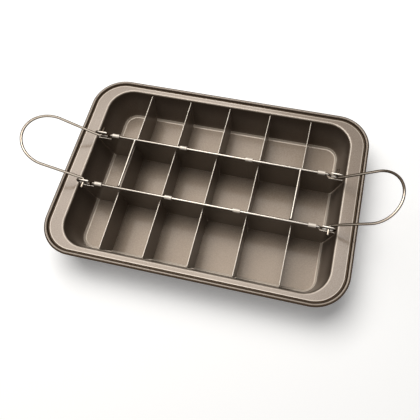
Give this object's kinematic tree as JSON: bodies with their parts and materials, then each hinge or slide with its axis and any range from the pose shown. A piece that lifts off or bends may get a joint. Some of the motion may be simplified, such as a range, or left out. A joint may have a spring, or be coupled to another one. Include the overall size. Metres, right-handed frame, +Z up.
{
  "type": "baking pan with divider",
  "caption": "Rectangular drafted baking pan with a flat rolled-edge rim, a flat loading tray and a lift-out egg-crate divider carried by two swinging wire handles.",
  "frame": {"origin": "centre of the pan's flat underside, where it stands on a surface", "axes": "+X along the pan's length towards the right-hand handle, +Y across the pan towards the far long side, +Z up"},
  "size_m": [0.4581, 0.2572, 0.1107],
  "materials": {
    "pan_coating": "satin non-stick coating, grey bronze",
    "tray_coating": "satin non-stick coating, grey bronze",
    "divider_coating": "satin non-stick coating, dark bronze",
    "rail_steel": "bright plated steel wire",
    "handle_steel": "bright drawn steel wire"
  },
  "bodies": {
    "pan": {"pan": "pan_coating"},
    "tray": {"loading_tray": "tray_coating"},
    "rack": {"cross_divider_1": "divider_coating", "cross_divider_2": "divider_coating", "cross_divider_3": "divider_coating", "cross_divider_4": "divider_coating", "cross_divider_5": "divider_coating", "long_divider_near": "divider_coating", "long_divider_far": "divider_coating", "rail_near": "rail_steel", "rail_far": "rail_steel", "cross_wire_left": "rail_steel", "cross_wire_right": "rail_steel"},
    "left_handle": {"handle_left": "handle_steel"},
    "right_handle": {"handle_right": "handle_steel"}
  },
  "joints": [
    {"name": "tray_lift", "type": "slide", "parent": "pan", "child": "tray", "axis": [0, 0, 1], "range_m": [0, 0.06]},
    {"name": "rack_lift", "type": "slide", "parent": "tray", "child": "rack", "axis": [0, 0, 1], "range_m": [0, 0.055]},
    {"name": "left_handle_swing", "type": "hinge", "parent": "rack", "child": "left_handle", "pos_m": [-0.154, 0, 0.0568], "axis": [0, 1, 0], "range_deg": [-38, 143]},
    {"name": "right_handle_swing", "type": "hinge", "parent": "rack", "child": "right_handle", "pos_m": [0.154, 0, 0.0568], "axis": [0, -1, 0], "range_deg": [-48, 133]}
  ]
}
